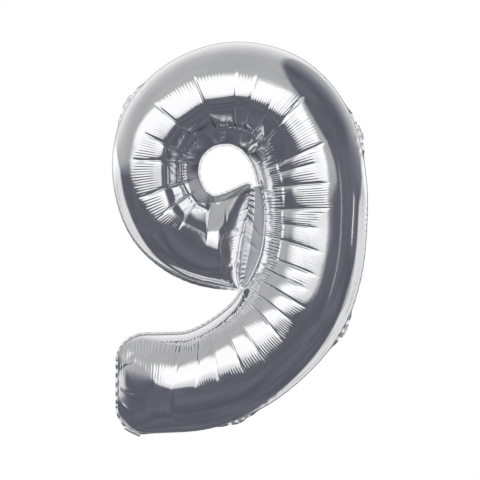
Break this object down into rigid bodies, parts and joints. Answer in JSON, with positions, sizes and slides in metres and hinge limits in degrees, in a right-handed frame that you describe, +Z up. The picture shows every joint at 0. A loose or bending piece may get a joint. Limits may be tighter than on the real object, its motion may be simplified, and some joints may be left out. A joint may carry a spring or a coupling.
{
  "type": "foil number balloon",
  "caption": "Inflated silver foil number balloon in the shape of a nine, with a sealed web, folded filling neck, self-sealing film valve and seam tabs to hang it by.",
  "frame": {"origin": "centre of the ribbon hole in the upper left hanging tab, from which the balloon hangs", "axes": "+Z up the figure, from the tail's lower edge to the top of the ring; +X to the reader's right; -Y out of the front of the figure; the seam lies in a plane of constant Y"},
  "size_m": [0.5711, 0.1872, 0.8808],
  "materials": {
    "silver_foil": "mirror-bright vacuum-metallised film with fine tension wrinkles",
    "fused_seam": "heat-crimped metallised film, satin",
    "valve_film": "thin translucent polyethylene film"
  },
  "bodies": {
    "envelope": {"front_foil_sheet": "silver_foil", "back_foil_sheet": "silver_foil", "seam_weld": "fused_seam", "valve_front_film_inner": "valve_film", "valve_back_film_inner": "valve_film"},
    "neck": {"neck_front_ply": "silver_foil", "neck_back_ply": "silver_foil", "neck_side_seal_left": "fused_seam", "neck_side_seal_right": "fused_seam", "valve_front_film_outer": "valve_film", "valve_back_film_outer": "valve_film"},
    "tab_upper_left": {"hang_tab_upper_left": "silver_foil"},
    "tab_upper_right": {"hang_tab_upper_right": "silver_foil"},
    "tab_lower_right": {"hang_tab_lower_right": "silver_foil"},
    "tab_bottom": {"hang_tab_bottom": "silver_foil"}
  },
  "joints": [
    {"name": "neck_fold", "type": "hinge", "parent": "envelope", "child": "neck", "pos_m": [0.01292, -0.00517, -0.73091], "axis": [-0.8929, 0, 0.4502], "range_deg": [-8, 170]},
    {"name": "tab_upper_left_fold", "type": "hinge", "parent": "envelope", "child": "tab_upper_left", "pos_m": [0.00157, -0.00517, -0.00104], "axis": [0.5528, 0, 0.8333], "range_deg": [-20, 160]},
    {"name": "tab_upper_right_fold", "type": "hinge", "parent": "envelope", "child": "tab_upper_right", "pos_m": [0.51677, -0.00517, -0.06935], "axis": [0.3096, 0, -0.9509], "range_deg": [-20, 160]},
    {"name": "tab_lower_right_fold", "type": "hinge", "parent": "envelope", "child": "tab_lower_right", "pos_m": [0.48203, -0.00517, -0.50636], "axis": [-0.4644, 0, -0.8856], "range_deg": [-20, 160]},
    {"name": "tab_bottom_fold", "type": "hinge", "parent": "envelope", "child": "tab_bottom", "pos_m": [0.24876, -0.00517, -0.70622], "axis": [-0.9199, 0, -0.3921], "range_deg": [-20, 160]}
  ]
}
